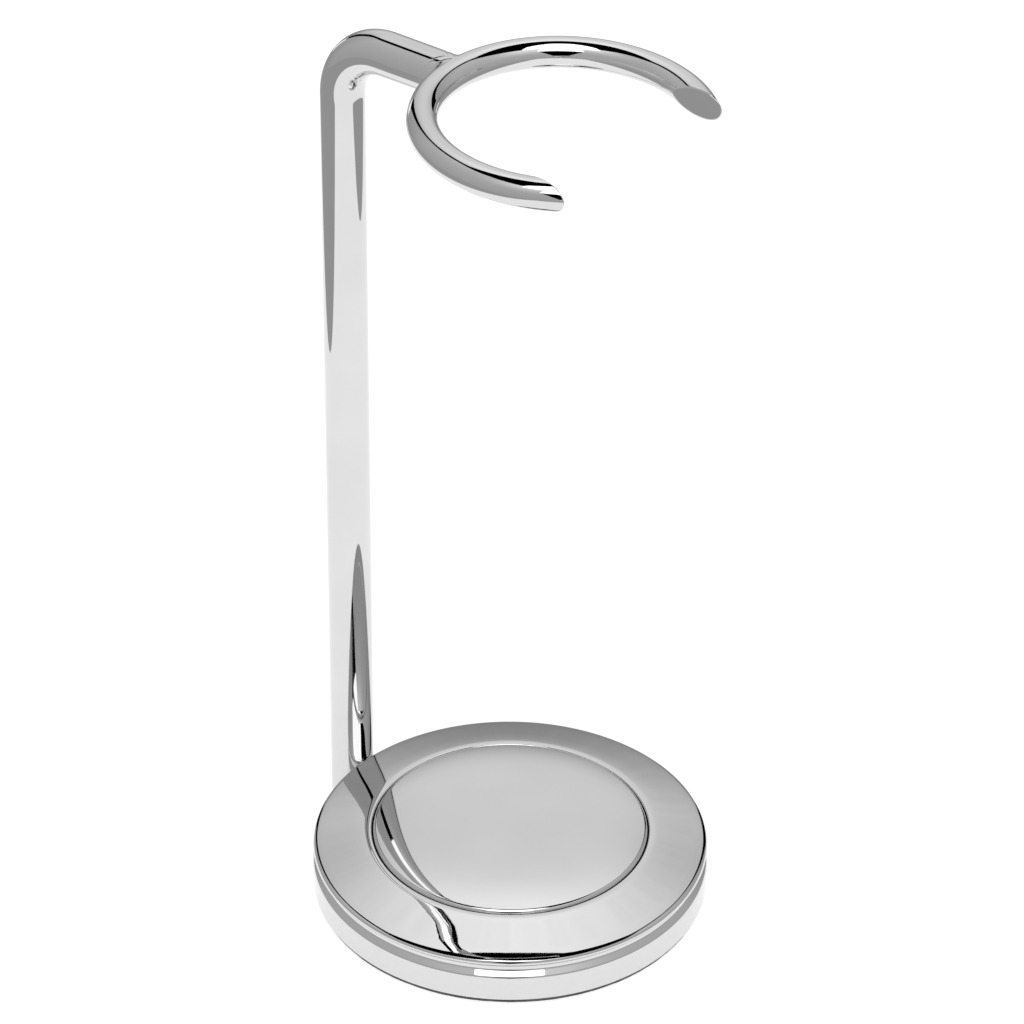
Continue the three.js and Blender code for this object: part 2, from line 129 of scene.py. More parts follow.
BEND_RADIUS = 9.94 * MM
POST_FOOT_ROUNDING = 0.35 * MM
BRAZE_FILLET = 1.0 * MM  # where the arm meets the ring
BRAZE_LENGTH = 2.4 * MM  # finer rows of the arm, from the fillet back
BRAZE_GROOVES = (0.3 * MM, 1.5 * MM)  # distance of each groove from the fillet
BRAZE_GROOVE_WIDTH = 0.12 * MM
BRAZE_GROOVE_DEPTH = 0.06 * MM
ARM_END_ROUNDING = 0.6 * MM
# The fillet changes into the plain end between these turns from the top of the arm, in degrees.
FILLET_END = 88
FREE_END_START = 106
MOUTH_HALF_WIDTH = 16.35 * MM
MOUTH_FLARE = math.radians(3)  # how far each cut turns out towards the front
MOUTH_EDGE = 0.35 * MM  # softened edge of the ring's cut ends
END_FACE_SHARES = (0.35, 0.7, 0.9, 0.98)  # rows of a cut end's flat face, from its middle
PAD_UNEVENNESS = 0.12 * MM  # how far the pad's cut edge wanders
# Waves round the pad's edge, and their phases.
PAD_WAVES = [(7, 0.4), (13, 2.1), (31, 4.0), (53, 1.3), (89, 5.2)]
PAD_WAVE_POWER = 8  # the waves fade this quickly from the edge towards the middle

scene = bpy.context.scene

# ------------------------------------------------------------------ mesh helpers


def arc(centre, radius, start, end, steps):
    """Points of an arc in (radius, z), between two directions in degrees up from outwards."""
    angles = np.radians(np.linspace(start, end, steps + 1))
    return np.stack([centre[0] + radius * np.cos(angles), centre[1] + radius * np.sin(angles)], 1)


def line(start, end, steps):
    """Points between start and end, both ends left out."""
    share = np.linspace(0, 1, steps + 1)[1:-1, None]
    return np.array(start) * (1 - share) + np.array(end) * share


def grid_faces(rows, columns, closed_rows=False):
    """Quads of a grid whose columns wrap round. Rows climb, columns turn to the left."""
    last = rows if closed_rows else rows - 1
    i, j = np.meshgrid(np.arange(last), np.arange(columns), indexing="ij")
    up, left = (i + 1) % rows, (j + 1) % columns
    lower, upper = i * columns, up * columns
    quads = np.stack([lower + j, lower + left, upper + left, upper + j], -1)
    return quads.reshape(-1, 4).tolist()


def pole_faces(ring_start, columns, pole, top):
    """Triangles that close a grid's first or last row onto one vertex."""
    faces = []
    for j in range(columns):
        a, b = ring_start + j, ring_start + (j + 1) % columns
        faces.append((a, b, pole) if top else (b, a, pole))
    return faces


def piece(name, points, faces, material, nodes=()):
    """A smooth mesh that rides on the stand and stands for some CAD nodes."""
    mesh = bpy.data.meshes.new(name)
    mesh.from_pydata([tuple(p) for p in points], [], faces)
    mesh.shade_smooth()
    mesh.materials.append(material)
    obj = bpy.data.objects.new(name, mesh)
    scene.collection.objects.link(obj)
    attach(obj, "root")
    if nodes:
        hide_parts(*nodes)
    return obj


def revolve(profile, columns):
    """Turns a (radius, z) profile about an upright axis. It closes itself or ends on the axis."""
    profile = np.asarray(profile, float)
    starts, ends = profile[0, 0] < 1e-9, profile[-1, 0] < 1e-9
    rows = profile[1 if starts else 0: -1 if ends else None]
    angle = np.arange(columns) * 2 * math.pi / columns
    points = np.empty((len(rows), columns, 3))
    points[..., 0] = rows[:, :1] * np.cos(angle)
    points[..., 1] = rows[:, :1] * np.sin(angle)
    points[..., 2] = rows[:, 1:]
    points = points.reshape(-1, 3).tolist()
    faces = grid_faces(len(rows), columns, closed_rows=not (starts or ends))
    if starts:
        points.append((0, 0, profile[0, 1]))
        faces += pole_faces(0, columns, len(points) - 1, top=False)
    if ends:
        points.append((0, 0, profile[-1, 1]))
        faces += pole_faces((len(rows) - 1) * columns, columns, len(points) - 1, top=True)
    return points, faces


def swept(rows, start, end):
    """Skin over rows of points, closed onto a point at each end."""
    rows = np.asarray(rows, float)
    count, columns = rows.shape[:2]
    points = rows.reshape(-1, 3).tolist() + [tuple(start), tuple(end)]
    faces = grid_faces(count, columns)
    faces += pole_faces(0, columns, count * columns, top=False)
    faces += pole_faces((count - 1) * columns, columns, count * columns + 1, top=True)
    return points, faces


# ------------------------------------------------------------------ materials


# Scales are features to a metre. Heights are metres. A range is where a noise's values lie that
# a finish maps onto its own values.
TINT_RANGE = (0.35, 0.65)  # the middle of a noise's spread
GRAIN_RANGE = (0.3, 0.7)  # most of it

CHROME_COLOURS = ((0.645, 0.645, 0.65), (0.675, 0.675, 0.675))
CHROME_TINT_SCALE = 60
HAZE_SCALE = 140
HAZE_RANGE = (0.4, 0.7)
HAZE_ROUGHNESS = (0.012, 0.032)
HAIRLINE_SCALE = 9000
HAIRLINE_STRETCH = (1, 1, 0.03)  # long upwards, thin across
HAIRLINE_RANGE = (0.66, 0.74)  # only the peaks
HAIRLINE_ROUGHNESS = (0, 0.05)
WAVE_SCALE = 120  # waves that the polishing wheel leaves
WAVE_HEIGHT = 6e-6
PEEL_SCALE = 1500  # the plating's own fine unevenness
PEEL_HEIGHT = 1.5e-7

COLLAR_START = 21.6 * MM  # where the collar's ripples and streaks start
COLLAR_FADE = 1.5 * MM
RIPPLES_ROUND = 16  # ripples to a radian round the base
RIPPLE_HEIGHT = 3e-6
STREAKS_ROUND = 12  # faint streaks of the wheel, also to a radian
STREAK_COLOURS = ((0.67, 0.67, 0.672), (0.645, 0.645, 0.647))

BEND_SPOT = (-1.6 * MM, 27.6 * MM, 130.6 * MM)  # on the bar's side inside the bend
BEND_SPOT_REACH = 2.6 * MM
PIT_SCALE = 2600
PIT_RANGE = (0.5, 0.75)
PIT_ROUGHNESS = 0.3
PIT_HEIGHT = 4e-5

FELT_COLOURS = ((0.05, 0.05, 0.053), (0.11, 0.11, 0.112))
FELT_FIBRE_SCALE = 6000
FELT_FIBRE_STRETCH = (1, 1, 0.4)
FELT_FIBRE_HEIGHT = 6e-5
FELT_MAT_SCALE = 900
FELT_MAT_HEIGHT = 1.5e-4
FELT_ROUGHNESS = (0.85, 1)
FELT_SHEEN = 0.3

IRON_COLOURS = ((0.13, 0.13, 0.135), (0.2, 0.195, 0.19))
IRON_WORN_SCALE = 180
IRON_WORN_RANGE = (0.45, 0.6)
IRON_WORN_METAL = (0, 0.35)
IRON_SAND_SCALE = 2200
IRON_SAND_HEIGHT = 5e-5
IRON_LUMP_SCALE = 350
IRON_LUMP_HEIGHT = 1.2e-4
IRON_ROUGHNESS = (0.5, 0.85)

ZINC_COLOURS = ((0.58, 0.6, 0.63), (0.63, 0.62, 0.58))
ZINC_PATCH_SCALE = 700
ZINC_PATCH_HEIGHT = 6e-6
ZINC_MARK_SCALE = 3000
ZINC_MARK_STRETCH = (0.2, 0.2, 3)
ZINC_MARK_HEIGHT = 4e-6
ZINC_ROUGHNESS = (0.22, 0.45)

SHEET_COLOURS = ((0.46, 0.47, 0.49), (0.53, 0.54, 0.56))
SHEET_LINE_SCALE = 3500
SHEET_LINE_STRETCH = (0.02, 1, 1)
SHEET_LINE_HEIGHT = 3e-6
SHEET_LINE_ROUGHNESS = (0.3, 0.45)
SHEET_SMEAR_SCALE = 90
SHEET_SMEAR_RANGE = (0.5, 0.7)
SHEET_SMEAR_ROUGHNESS = (0, 0.15)


def new_material(name):
    material = bpy.data.materials.new(name)
    material.use_nodes = True
    nodes = material.node_tree.nodes
    return material, nodes, material.node_tree.links, nodes["Principled BSDF"]


def noise(nodes, links, scale, detail=2.0, stretch=(1, 1, 1), vector=None):
    """Noise with scale features to a metre, in the piece's own metres unless a vector is given."""
    texture = nodes.new("ShaderNodeTexNoise")
    texture.inputs["Scale"].default_value = scale
    texture.inputs["Detail"].default_value = detail
    mapping = nodes.new("ShaderNodeMapping")
    mapping.inputs["Scale"].default_value = stretch
    links.new(vector or nodes.new("ShaderNodeTexCoord").outputs["Object"], mapping.inputs["Vector"])
    links.new(mapping.outputs["Vector"], texture.inputs["Vector"])
    return texture.outputs["Fac"]


def remap(nodes, links, value, source, target):
    """Moves a value from one range to another and holds it there."""
    node = nodes.new("ShaderNodeMapRange")
    node.inputs["From Min"].default_value, node.inputs["From Max"].default_value = source
    node.inputs["To Min"].default_value, node.inputs["To Max"].default_value = target
    links.new(value, node.inputs["Value"])
    return node.outputs["Result"]


def combine(nodes, links, operation, first, second):
    node = nodes.new("ShaderNodeMath")
    node.operation = operation
    links.new(first, node.inputs[0])
    links.new(second, node.inputs[1])
    return node.outputs["Value"]


def vector_math(nodes, links, operation, vector, constant=None, output="Vector"):
    node = nodes.new("ShaderNodeVectorMath")
    node.operation = operation
    links.new(vector, node.inputs[0])
    if constant is not None:
        node.inputs[1].default_value = constant
    return node.outputs[output]


def tint(nodes, links, value, first, second):
    ramp = nodes.new("ShaderNodeValToRGB")
    ramp.color_ramp.elements[0].position, ramp.color_ramp.elements[1].position = TINT_RANGE
    ramp.color_ramp.elements[0].color = (*first, 1)
    ramp.color_ramp.elements[1].color = (*second, 1)
    links.new(value, ramp.inputs["Fac"])
    return ramp.outputs["Color"]


def bumps(nodes, links, shader, layers):
    """Stacks bump layers, each a value and its height in metres, onto the shader's normal."""
    normal = None
    for value, height in layers:
        node = nodes.new("ShaderNodeBump")
        node.inputs["Distance"].default_value = height
        links.new(value, node.inputs["Height"])
        if normal:
            links.new(normal, node.inputs["Normal"])
        normal = node.outputs["Normal"]
    links.new(normal, shader.inputs["Normal"])


def chrome_layers(nodes, links):
    """Roughness and bump of polished chrome: soft waves of the wheel, haze and hairlines."""
    haze = remap(nodes, links, noise(nodes, links, HAZE_SCALE, 4), HAZE_RANGE, HAZE_ROUGHNESS)
    hairline = noise(nodes, links, HAIRLINE_SCALE, 2, stretch=HAIRLINE_STRETCH)
    hairlines = remap(nodes, links, hairline, HAIRLINE_RANGE, HAIRLINE_ROUGHNESS)
    waves = noise(nodes, links, WAVE_SCALE, 1)
    peel = noise(nodes, links, PEEL_SCALE, 2)
    roughness = combine(nodes, links, "ADD", haze, hairlines)
    return roughness, [(waves, WAVE_HEIGHT), (peel, PEEL_HEIGHT)]


def chrome_colour(nodes, links):
    return tint(nodes, links, noise(nodes, links, CHROME_TINT_SCALE, 3), *CHROME_COLOURS)


def finish_plate(nodes, links, shader, colour, roughness, layers):
    """Makes the shader plated metal of that colour and roughness, with those bump layers."""
    links.new(colour, shader.inputs["Base Color"])
    shader.inputs["Metallic"].default_value = 1
    links.new(roughness, shader.inputs["Roughness"])
    bumps(nodes, links, shader, layers)


def chrome(name):
    material, nodes, links, shader = new_material(name)
    roughness, layers = chrome_layers(nodes, links)
    finish_plate(nodes, links, shader, chrome_colour(nodes, links), roughness, layers)
    return material


def shell_chrome(name, inner, outer):
    """Chrome with faint ripples and streaks that run outwards on the collar, between two radii."""
    material, nodes, links, shader = new_material(name)
    roughness, layers = chrome_layers(nodes, links)
    place = nodes.new("ShaderNodeTexCoord").outputs["Object"]
    flat = vector_math(nodes, links, "MULTIPLY", place, (1, 1, 0))
    outwards = vector_math(nodes, links, "NORMALIZE", flat)
    radius = vector_math(nodes, links, "LENGTH", flat, output="Value")
    inside = remap(nodes, links, radius, (inner, inner + COLLAR_FADE), (0, 1))
    outside = remap(nodes, links, radius, (outer - COLLAR_FADE, outer), (1, 0))
    band = combine(nodes, links, "MULTIPLY", inside, outside)
    around = noise(nodes, links, RIPPLES_ROUND, 1.5, vector=outwards)
    ripples = combine(nodes, links, "MULTIPLY", around, band)
    layers.append((ripples, RIPPLE_HEIGHT))
    streaks = noise(nodes, links, STREAKS_ROUND, 1.5, vector=outwards)
    streaked = combine(nodes, links, "MULTIPLY", streaks, band)
    colour = tint(nodes, links, streaked, *STREAK_COLOURS)
    finish_plate(nodes, links, shader, colour, roughness, layers)
    return material


def bar_chrome(name, place, reach):
    """Chrome with a rougher, pitted spot at a place that a polishing wheel hardly reaches."""
    material, nodes, links, shader = new_material(name)
    roughness, layers = chrome_layers(nodes, links)
    own = nodes.new("ShaderNodeTexCoord").outputs["Object"]
    away = vector_math(nodes, links, "DISTANCE", own, place, output="Value")
    near = remap(nodes, links, away, (reach / 3, reach), (1, 0))
    pits = remap(nodes, links, noise(nodes, links, PIT_SCALE, 3), PIT_RANGE, (0, 1))
    spot = combine(nodes, links, "MULTIPLY", near, pits)
    rough_spot = remap(nodes, links, spot, (0, 1), (0, PIT_ROUGHNESS))
    roughness = combine(nodes, links, "ADD", roughness, rough_spot)
    layers.append((spot, PIT_HEIGHT))
    finish_plate(nodes, links, shader, chrome_colour(nodes, links), roughness, layers)
    return material


def felt(name):
    """Pressed felt: matted fibres, a little grey where they catch dust."""
    material, nodes, links, shader = new_material(name)
    fibres = noise(nodes, links, FELT_FIBRE_SCALE, 4, stretch=FELT_FIBRE_STRETCH)
    matted = noise(nodes, links, FELT_MAT_SCALE, 3)
    links.new(tint(nodes, links, matted, *FELT_COLOURS), shader.inputs["Base Color"])
    roughness = remap(nodes, links, fibres, GRAIN_RANGE, FELT_ROUGHNESS)
    links.new(roughness, shader.inputs["Roughness"])
    shader.inputs["Sheen Weight"].default_value = FELT_SHEEN
    bumps(nodes, links, shader, [(matted, FELT_MAT_HEIGHT), (fibres, FELT_FIBRE_HEIGHT)])
    return material


def cast_iron(name):
    """Sand-cast iron under grey paint that is worn thin in places."""
    material, nodes, links, shader = new_material(name)
    worn = noise(nodes, links, IRON_WORN_SCALE, 6)
    sand = noise(nodes, links, IRON_SAND_SCALE, 4)
    lumps = noise(nodes, links, IRON_LUMP_SCALE, 2)
    links.new(tint(nodes, links, worn, *IRON_COLOURS), shader.inputs["Base Color"])
    metal = remap(nodes, links, worn, IRON_WORN_RANGE, IRON_WORN_METAL)
    links.new(metal, shader.inputs["Metallic"])
    roughness = remap(nodes, links, sand, GRAIN_RANGE, IRON_ROUGHNESS)
    links.new(roughness, shader.inputs["Roughness"])
    bumps(nodes, links, shader, [(lumps, IRON_LUMP_HEIGHT), (sand, IRON_SAND_HEIGHT)])
    return material


def zinc(name):
    """Zinc plate with faint bluish and straw patches, and tool marks round the turned faces."""
    material, nodes, links, shader = new_material(name)
    patches = noise(nodes, links, ZINC_PATCH_SCALE, 3)
    marks = noise(nodes, links, ZINC_MARK_SCALE, 2, stretch=ZINC_MARK_STRETCH)
    links.new(tint(nodes, links, patches, *ZINC_COLOURS), shader.inputs["Base Color"])
    shader.inputs["Metallic"].default_value = 1
    roughness = remap(nodes, links, marks, GRAIN_RANGE, ZINC_ROUGHNESS)
    links.new(roughness, shader.inputs["Roughness"])
    bumps(nodes, links, shader, [(marks, ZINC_MARK_HEIGHT), (patches, ZINC_PATCH_HEIGHT)])
    return material


def sheet_steel(name):
    """Rolled sheet with its fine lines along one direction, and a few duller smears."""
    material, nodes, links, shader = new_material(name)
    rolled = noise(nodes, links, SHEET_LINE_SCALE, 3, stretch=SHEET_LINE_STRETCH)
    smears = noise(nodes, links, SHEET_SMEAR_SCALE, 4)
    links.new(tint(nodes, links, smears, *SHEET_COLOURS), shader.inputs["Base Color"])
    shader.inputs["Metallic"].default_value = 1
    lines = remap(nodes, links, rolled, GRAIN_RANGE, SHEET_LINE_ROUGHNESS)
    dull = remap(nodes, links, smears, SHEET_SMEAR_RANGE, SHEET_SMEAR_ROUGHNESS)
    links.new(combine(nodes, links, "ADD", lines, dull), shader.inputs["Roughness"])
    bumps(nodes, links, shader, [(rolled, SHEET_LINE_HEIGHT)])
    return material


SHELL_CHROME = shell_chrome("chrome_shell", COLLAR_START, RIM_START_RADIUS)
DISC_CHROME = chrome("chrome_disc")
POST_CHROME = bar_chrome("chrome_post", BEND_SPOT, BEND_SPOT_REACH)
RING_CHROME = chrome("chrome_ring")
FELT = felt("felt")
# The finish of each CAD node, by its material slot in the record.
NODE_FINISHES = {
    "polished_chrome": RING_CHROME,
    "cast_iron_weight": cast_iron("cast_iron"),
    "zinc_plated_fasteners": zinc("zinc_plate"),
    "sheet_steel": sheet_steel("sheet_steel"),
    "foot_felt": FELT,
}

for subpart in frame["record"]["subparts"]:
    for material_slot in frame["nodes"][subpart["node"]].material_slots:
        material_slot.material = NODE_FINISHES[subpart["material_slot"]]

# ------------------------------------------------------------------ base


def bent(start, bends, steps):
    """Profile that starts at a (radius, z) point and bends. Each bend has a length and two tilts."""
    rows = [np.array(start, float)]
    for length, first, last in bends:
        tilts = np.radians(np.linspace(first, last, 2 * steps + 1)[1::2])
        for tilt in tilts:
            direction = np.array([math.cos(tilt), -math.sin(tilt)])
            rows.append(rows[-1] + length * MM / steps * direction)
    return np.array(rows)


def shell_outside():
    """Wall, ledge, neck, rounded rim and domed collar, from the foot to the seam."""
    start = (RIM_START_RADIUS, RIM_START_Z)
    side = bent(start, RIM_BENDS, 8)[::-1]
    wall_top = side[0]
    foot_radius = wall_top[0] - FOOT_LEAN
    foot_centre = (foot_radius - FOOT_ROUNDING, SHELL_LOW.z + FOOT_ROUNDING)
    foot = arc(foot_centre, FOOT_ROUNDING, -90, 0, 8)
    collar = bent(start, COLLAR_BENDS, 8)
    return np.concatenate([
        foot,
        line(foot[-1], wall_top, 12),
        side,
        collar[1:],
    ])


def shell_inside(foot, seam_end):
    """Recess, web with its hole, and the hollow below."""
    ceiling = WEIGHT_HIGH.z
    corner = (INNER_RADIUS - INNER_ROUNDING, ceiling - INNER_ROUNDING)
    return np.concatenate([
        line(seam_end, (seam_end[0], RECESS_FLOOR), 3),
        [(seam_end[0], RECESS_FLOOR)],
        line((seam_end[0], RECESS_FLOOR), (STUD_HOLE, RECESS_FLOOR), 6),
        [(STUD_HOLE, RECESS_FLOOR), (STUD_HOLE, ceiling)],
        line((STUD_HOLE, ceiling), corner, 6),
        arc(corner, INNER_ROUNDING, 90, 0, 6),
        [(INNER_RADIUS, SHELL_LOW.z)],
        line((INNER_RADIUS, SHELL_LOW.z), foot, 4),
    ])


def base_shell():
    outside = shell_outside()
    profile = np.concatenate([outside, shell_inside(outside[0], outside[-1])])
    points, faces = revolve(profile, AROUND)
    points = seated_on_post(points)
    return piece("base_shell_fine", points, faces, SHELL_CHROME, ["base_shell"])


def seated_on_post(points):
    """Presses the wall in where the post lies against it."""
    points = np.array(points)
    close = (np.abs(points[:, 0]) < POST_RADIUS) & (points[:, 1] > BASE_RADIUS - SEAT_REACH)
    x = points[close, 0]
    limit = POST_Y - np.sqrt(POST_RADIUS ** 2 - x ** 2)
    points[close, 1] = np.minimum(points[close, 1], limit)
    return points.tolist()


def disc_dome(edge, steps):
    """Dome from the edge to the axis. It steepens near the edge."""
    radii = edge[0] * np.linspace(1, 0, steps + 1)
    middles = (radii[1:] + radii[:-1]) / 2 / edge[0]
    slopes = np.radians(DISC_SLOPE * middles + DISC_EDGE_SLOPE * middles ** DISC_EDGE_POWER)
    rises = np.concatenate([[0], np.cumsum(np.tan(slopes) * edge[0] / steps)])
    return np.stack([radii, edge[1] + rises], 1)


def centre_disc():
    rounding_centre = (DISC_RADIUS - DISC_EDGE_ROUNDING, DISC_EDGE_Z)
    top_tilt = DISC_SLOPE + DISC_EDGE_SLOPE
    rounding = arc(rounding_centre, DISC_EDGE_ROUNDING, 0, 90 - top_tilt, 16)
    dome = disc_dome(rounding[-1], 80)
    profile = np.concatenate([
        [(0, DISC_LOW.z), (STUD_RADIUS, DISC_LOW.z)],
        [(STUD_RADIUS, RECESS_FLOOR), (DISC_RADIUS, RECESS_FLOOR)],
        line((DISC_RADIUS, RECESS_FLOOR), rounding[0], 4),
        rounding,
        dome[1:],
    ])
    points, faces = revolve(profile, AROUND)
    return piece("centre_disc_fine", points, faces, DISC_CHROME, ["centre_disc"])


# ------------------------------------------------------------------ post and arm

BAR_ANGLES = np.arange(BAR_AROUND) * 2 * math.pi / BAR_AROUND
ARM_TURN = math.radians(90 - ARM_TILT)


def bar_row(centre, turn, radius):
    """One circle of the post's bar. turn is 0 on the upright and a right angle on the arm."""
    side = np.array([1.0, 0, 0])
    out = np.array([0, math.cos(turn), math.sin(turn)])
    spread = np.cos(BAR_ANGLES)[:, None] * side + np.sin(BAR_ANGLES)[:, None] * out
    return np.asarray(centre) + radius * spread


def arm_centre(y):
    """Centre line of the arm at some y, one row for each."""
    y = np.asarray(y, float)
    z = ARM_Z + (ARM_REFERENCE_Y - y) * math.tan(math.radians(ARM_TILT))
    return np.stack([np.zeros_like(y), y, z], -1)


def fillet_rows(steps):
    """Rows of the braze fillet that runs from the arm onto the ring's bar."""
    reach = POST_RADIUS + BRAZE_FILLET
    spread = bar_row((0, 0, 0), ARM_TURN, 1)
    bend_radius = RING_HALF_WIDTH ** 2 / RING_HALF_LENGTH  # of the ring where the arm meets it
    bend_y = RING_Y + RING_HALF_LENGTH - bend_radius
    ball = arm_centre(np.full(BAR_AROUND, ARM_END_Y)) + reach * spread
    for _ in range(6):
        rise = ball[:, 2] - RING_Z
        gap = np.sqrt(np.maximum((RING_BAR + BRAZE_FILLET) ** 2 - rise ** 2, 0))
        along = bend_y + np.sqrt((bend_radius + gap) ** 2 - ball[:, 0] ** 2)
        ball = arm_centre(along - reach * spread[:, 1]) + reach * spread
    share = (bend_radius / (bend_radius + gap))[:, None]
    core = np.stack([ball[:, 0], ball[:, 1] - bend_y, np.zeros(BAR_AROUND)], 1) * share
    core += (0, bend_y, RING_Z)
    first = -spread
    last = core - ball
    last /= np.linalg.norm(last, axis=1)[:, None]
    angle = np.arccos(np.clip((first * last).sum(1), -1, 1))[:, None]
    rows = []
    for t in np.linspace(0, 1, steps + 1):
        blend = np.sin((1 - t) * angle) * first + np.sin(t * angle) * last
        rows.append(ball + BRAZE_FILLET * blend / np.maximum(np.sin(angle), 1e-6))
    return np.array(rows)


def free_end_rows(steps):
    """Rows of the arm's rounded end, below the ring's bar."""
    rows = []
    for angle in np.linspace(0, math.pi / 2, steps + 1):
        radius = POST_RADIUS - ARM_END_ROUNDING * (1 - math.cos(angle))
        y = ARM_END_Y + ARM_END_ROUNDING * (1 - math.sin(angle))
        rows.append(bar_row(arm_centre(y), ARM_TURN, radius))
    return np.array(rows)


def arm_end_rows(steps=12):
    """The fillet above and the rounded free end below. The ring's bar hides where they blend."""
    fillet, free = fillet_rows(steps), free_end_rows(steps)
    from_top = np.degrees(np.arccos(np.clip(np.sin(BAR_ANGLES), -1, 1)))
    t = np.clip((from_top - FILLET_END) / (FREE_END_START - FILLET_END), 0, 1)
    weight = (t * t * (3 - 2 * t))[None, :, None]
    return fillet * (1 - weight) + free * weight


def braze_rows(start, end):
    """Rows of the straight arm, with the fine grooves on both sides of the braze by the ring."""
    length = np.linalg.norm(end.mean(0) - start.mean(0))
    spread = bar_row((0, 0, 0), ARM_TURN, 1)
    coarse = np.linspace(length, BRAZE_LENGTH, 9)[1:-1]
    fine = np.linspace(BRAZE_LENGTH, 0, 49)[:-1]
    rows = []
    for away in np.concatenate([coarse, fine]):
        share = 1 - away / length
        dips = [math.exp(-((away - groove) / BRAZE_GROOVE_WIDTH) ** 2) for groove in BRAZE_GROOVES]
        dip = sum(dips)
        rows.append(start * (1 - share) + end * share - BRAZE_GROOVE_DEPTH * dip * spread)
    return rows


def post():
    rows = []
    foot = POST_LOW.z
    for angle in np.linspace(0, math.pi / 2, 7):
        radius = POST_RADIUS - POST_FOOT_ROUNDING * (1 - math.sin(angle))
        z = foot + POST_FOOT_ROUNDING * (1 - math.cos(angle))
        rows.append(bar_row((0, POST_Y, z), 0, radius))
    bend_end = arm_centre(POST_Y - BEND_RADIUS * (1 - math.cos(ARM_TURN)))
    bend_z = bend_end[2] - BEND_RADIUS * math.sin(ARM_TURN)
    for z in np.linspace(foot + POST_FOOT_ROUNDING, bend_z, 130)[1:-1]:
        rows.append(bar_row((0, POST_Y, z), 0, POST_RADIUS))
    for turn in np.linspace(0, ARM_TURN, 65):
        y = POST_Y - BEND_RADIUS * (1 - math.cos(turn))
        z = bend_z + BEND_RADIUS * math.sin(turn)
        rows.append(bar_row((0, y, z), turn, POST_RADIUS))
    end = arm_end_rows()
    start = rows[-1]
    rows += braze_rows(start, end[0])
    rows += list(end)
    points, faces = swept(rows, (0, POST_Y, foot), end[-1].mean(0))
    return piece("post_fine", points, faces, POST_CHROME, ["post"])


# ------------------------------------------------------------------ ring


def ring_row(turn, angles):
    """Points round the ring's bar, each with its turn from the mouth and its angle on the bar."""
    out = np.stack([RING_HALF_LENGTH * np.sin(turn), -RING_HALF_WIDTH * np.cos(turn)], -1)
    out /= np.linalg.norm(out, axis=-1)[..., None]
    x = RING_HALF_WIDTH * np.sin(turn) + out[..., 0] * RING_BAR * np.cos(angles)
    y = RING_Y - RING_HALF_LENGTH * np.cos(turn) + out[..., 1] * RING_BAR * np.cos(angles)
    return np.stack([x, y, RING_Z + RING_BAR * np.sin(angles)], -1)


def mouth_turns(angles):
    """Where the line along the bar at each angle reaches the flared cut of the mouth."""
    low, high = np.zeros(len(angles)), np.full(len(angles), math.pi / 2)
    cut_y = RING_Y - RING_HALF_LENGTH * math.sqrt(1 - (MOUTH_HALF_WIDTH / RING_HALF_WIDTH) ** 2)
    for _ in range(40):
        turn = (low + high) / 2
        row = ring_row(turn, angles)
        inside = row[:, 0] < MOUTH_HALF_WIDTH + (cut_y - row[:, 1]) * math.tan(MOUTH_FLARE)
        low, high = np.where(inside, turn, low), np.where(inside, high, turn)
    return low


def ring_end(edge, body):
    """Rows from the middle of one cut end out to its softened edge, in order from the middle."""
    middle = (edge.min(0) + edge.max(0)) / 2
    inward = middle - edge
    inward /= np.linalg.norm(inward, axis=1)[:, None]
    on_face = edge + MOUTH_EDGE * inward
    rows = [middle + (on_face - middle) * share for share in END_FACE_SHARES]
    for t in np.linspace(0, 1, 9)[:-1]:
        rows.append((1 - t) ** 2 * on_face + 2 * t * (1 - t) * edge + t ** 2 * body)
    return middle, rows


def ring():
    angles = -BAR_ANGLES
    cut = mouth_turns(angles)
    start = cut + MOUTH_EDGE / RING_HALF_WIDTH
    sweep = 2 * math.pi - 2 * start
    body = [ring_row(start + sweep * share, angles) for share in np.linspace(0, 1, 221)]
    first_middle, first = ring_end(ring_row(cut, angles), body[0])
    last_middle, last = ring_end(ring_row(2 * math.pi - cut, angles), body[-1])
    points, faces = swept(first + body + last[::-1], first_middle, last_middle)
    return piece("ring_fine", points, faces, RING_CHROME, ["ring"])


def foot_pad():
    """Felt disc with soft, slightly uneven edges."""
    thickness = PAD_HIGH.z - PAD_LOW.z
    edge = arc((PAD_RADIUS - thickness / 2, PAD_LOW.z + thickness / 2), thickness / 2, -90, 90, 10)
    profile = np.concatenate([
        [(0, PAD_LOW.z)],
        line((0, PAD_LOW.z), edge[0], 12),
        edge,
        line(edge[-1], (0, PAD_HIGH.z), 12),
        [(0, PAD_HIGH.z)],
    ])
    points, faces = revolve(profile, AROUND)
    points = np.array(points)
    angle = np.arctan2(points[:, 1], points[:, 0])
    radius = np.hypot(points[:, 0], points[:, 1])
    uneven = sum(np.sin(count * angle + phase) for count, phase in PAD_WAVES) / len(PAD_WAVES)
    depth = PAD_UNEVENNESS / PAD_RADIUS * (1 + uneven) / 2
    shrink = 1 - depth * (radius / PAD_RADIUS) ** PAD_WAVE_POWER
    points[:, :2] *= shrink[:, None]
    return piece("foot_pad_fine", points.tolist(), faces, FELT, ["foot_pad"])


base_shell()
centre_disc()
post()
ring()
foot_pad()

# ------------------------------------------------------------------ camera

CAMERA_AZIMUTH = math.radians(48.42)  # from the mouth's direction round towards -X
CAMERA_REACH = 656.42 * MM  # level distance from the base's centre
CAMERA_HEIGHT = 517.1 * MM
CAMERA_PITCH = 0.59959
CAMERA_ROLL = 0.00536
CAMERA_LENS = 190.6
SENSOR_WIDTH = 36.0


